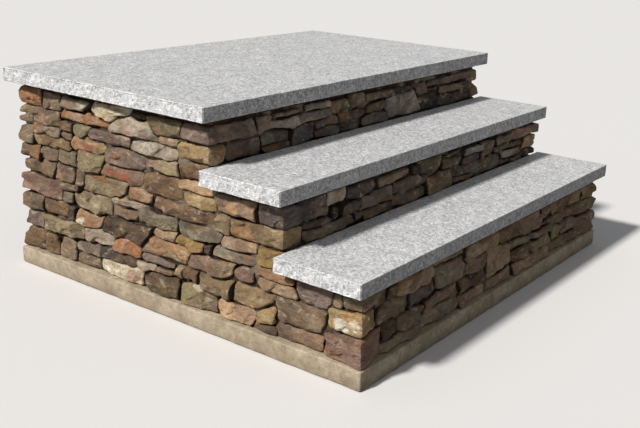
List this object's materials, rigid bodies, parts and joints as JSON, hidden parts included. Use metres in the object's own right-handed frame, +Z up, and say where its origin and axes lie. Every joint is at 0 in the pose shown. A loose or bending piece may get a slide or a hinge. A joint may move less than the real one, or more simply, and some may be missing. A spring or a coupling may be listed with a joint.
{
  "type": "outdoor stone steps",
  "caption": "Freestanding outdoor steps: granite slab treads and landing on a stepped base faced with rubble stone, with toothed corner stones and a concrete footing.",
  "frame": {"origin": "on the ground, at the middle of the length and of the whole depth", "axes": "+Z up, +Y from the front towards the landing's back edge, +X along the treads to the right of someone who walks up"},
  "size_m": [1.68, 1.462, 0.69],
  "materials": {
    "granite": "honed top, sawn front edge and rough-hewn ends, light grey with dark and white specks",
    "rubble_stone": "split faces of mixed brown, tan, olive, plum and rust stone",
    "corner_stone": "split faces of the same mixed stone, squared at the corner",
    "mortar": "rough, deeply raked, dark",
    "rubble_core": "packed rubble and mortar",
    "concrete": "board-cast, sandy and matt"
  },
  "bodies": {
    "root": {"landing_slab": "granite", "middle_tread": "granite", "bottom_tread": "granite", "landing_bed": "mortar", "middle_bed": "mortar", "bottom_bed": "mortar", "upper_front_wall": "rubble_stone", "middle_front_wall": "rubble_stone", "lower_front_wall": "rubble_stone", "upper_left_wall": "rubble_stone", "middle_left_wall": "rubble_stone", "lower_left_wall": "rubble_stone", "upper_right_wall": "rubble_stone", "middle_right_wall": "rubble_stone", "lower_right_wall": "rubble_stone", "upper_back_wall": "rubble_stone", "middle_back_wall": "rubble_stone", "lower_back_wall": "rubble_stone", "upper_front_left_quoins": "corner_stone", "middle_front_left_quoins": "corner_stone", "lower_front_left_quoins": "corner_stone", "upper_front_right_quoins": "corner_stone", "middle_front_right_quoins": "corner_stone", "lower_front_right_quoins": "corner_stone", "upper_back_left_quoins": "corner_stone", "middle_back_left_quoins": "corner_stone", "lower_back_left_quoins": "corner_stone", "upper_back_right_quoins": "corner_stone", "middle_back_right_quoins": "corner_stone", "lower_back_right_quoins": "corner_stone", "upper_core": "rubble_core", "middle_core": "rubble_core", "lower_core": "rubble_core", "footing": "concrete"}
  },
  "joints": []
}
